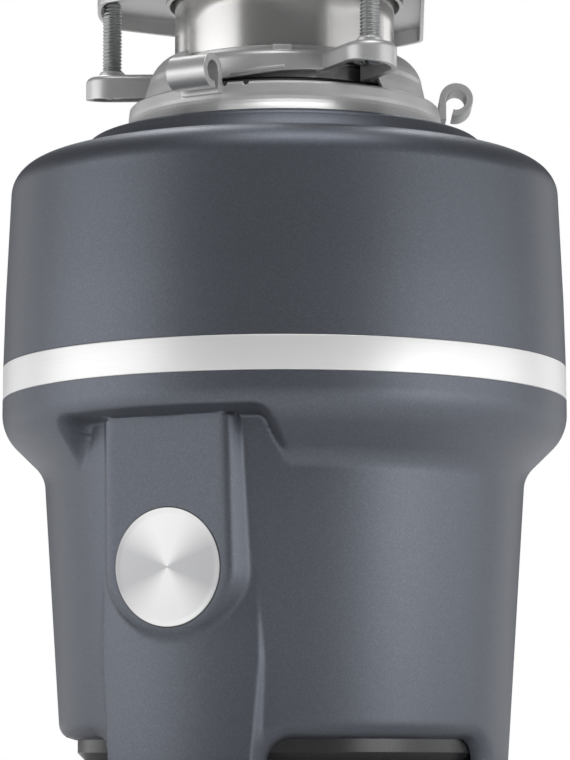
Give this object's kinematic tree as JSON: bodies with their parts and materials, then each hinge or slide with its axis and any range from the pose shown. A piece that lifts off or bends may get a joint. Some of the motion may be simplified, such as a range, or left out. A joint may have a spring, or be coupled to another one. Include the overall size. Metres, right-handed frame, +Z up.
{
  "type": "garbage disposal",
  "caption": "Under-sink kitchen garbage disposal with a quick-lock sink mount, swivelling impellers, induction motor and a two-part metallic casing with a bright band.",
  "frame": {"origin": "centre of the standing face, under the axis", "axes": "+Z up along the shaft axis, badge towards -Y, discharge outlet towards +Y"},
  "size_m": [0.2226, 0.2226, 0.3194],
  "materials": {
    "shell_paint": "satin metallic blue-grey paint with a fine speckle",
    "satin_steel": "satin stainless strip",
    "spun_steel": "spun satin disc",
    "zinc_screw": "zinc plated",
    "foam": "open-cell sound-damping foam",
    "chamber_steel": "stainless, rolled",
    "cast_alloy": "as-cast, blasted",
    "black_rubber": "moulded rubber",
    "bearing_bronze": "sintered bronze",
    "shaft_steel": "ground steel",
    "lamination_steel": "stacked laminations",
    "copper_winding": "enamelled copper wire",
    "dark_moulding": "glass-filled black moulding",
    "red_plastic": "glossy red",
    "green_screw": "green dyed zinc",
    "pressed_zinc": "satin zinc-plated pressing",
    "cast_zinc": "satin die casting",
    "spring_steel": "bright spring wire",
    "threaded_steel": "zinc-plated thread",
    "fibre": "pressed fibre washer",
    "polished_steel": "polished stainless"
  },
  "bodies": {
    "root": {"upper_housing": "shell_paint", "lower_housing": "shell_paint", "trim_band": "satin_steel", "badge_plate": "spun_steel", "housing_screws": "zinc_screw", "sound_insulation": "foam", "grind_container": "chamber_steel", "container_screws": "zinc_screw", "shredder_ring": "chamber_steel", "upper_end_bell": "cast_alloy", "shaft_seal": "black_rubber", "upper_bearing": "bearing_bronze", "stator_core": "lamination_steel", "stator_windings": "copper_winding", "lower_bearing": "bearing_bronze", "lower_end_frame": "dark_moulding", "motor_through_bolts": "zinc_screw", "start_switch": "dark_moulding", "overload_protector": "dark_moulding", "terminal_cover": "dark_moulding", "terminal_cover_screw": "zinc_screw", "ground_screw": "green_screw", "dishwasher_inlet": "dark_moulding", "inlet_grommet": "black_rubber", "inlet_plug": "dark_moulding", "mounting_gasket": "black_rubber", "upper_mounting_ring": "cast_zinc", "snap_ring": "spring_steel", "backup_flange": "pressed_zinc", "fibre_gasket": "fibre", "sink_flange": "polished_steel"},
    "rotor": {"rotor_shaft": "shaft_steel", "rotor_core": "lamination_steel", "turntable": "chamber_steel", "turntable_bolt": "zinc_screw", "impeller_rivets": "zinc_screw", "centrifugal_actuator": "dark_moulding"},
    "impeller_left": {"impeller_b": "chamber_steel"},
    "impeller_right": {"impeller_a": "chamber_steel"},
    "lock_ring": {"lower_mounting_ring": "pressed_zinc"},
    "screw_left": {"mounting_screw_left": "threaded_steel"},
    "screw_right": {"mounting_screw_right": "threaded_steel"},
    "screw_rear": {"mounting_screw_rear": "threaded_steel"},
    "reset": {"reset_button": "red_plastic"}
  },
  "joints": [
    {"name": "rotor_spin", "type": "hinge", "parent": "root", "child": "rotor", "pos_m": [0, 0, 0.1], "axis": [0, 0, 1], "continuous": true},
    {"name": "impeller_left_swivel", "type": "hinge", "parent": "rotor", "child": "impeller_left", "pos_m": [-0.036, 0, 0.189], "axis": [0, 0, 1], "continuous": true},
    {"name": "impeller_right_swivel", "type": "hinge", "parent": "rotor", "child": "impeller_right", "pos_m": [0.036, 0, 0.189], "axis": [0, 0, 1], "continuous": true},
    {"name": "lock_ring_turn", "type": "hinge", "parent": "root", "child": "lock_ring", "pos_m": [0, 0, 0.26], "axis": [0, 0, 1], "range_deg": [0, 40]},
    {"name": "screw_left_feed", "type": "slide", "parent": "root", "child": "screw_left", "axis": [0, 0, 1], "range_m": [-0.008, 0]},
    {"name": "screw_right_feed", "type": "slide", "parent": "root", "child": "screw_right", "axis": [0, 0, 1], "range_m": [-0.008, 0]},
    {"name": "screw_rear_feed", "type": "slide", "parent": "root", "child": "screw_rear", "axis": [0, 0, 1], "range_m": [-0.008, 0]},
    {"name": "reset_press", "type": "slide", "parent": "root", "child": "reset", "axis": [0, 0, 1], "range_m": [0, 0.003], "stiffness_N_per_m": 300, "springref_m": -0.001}
  ]
}
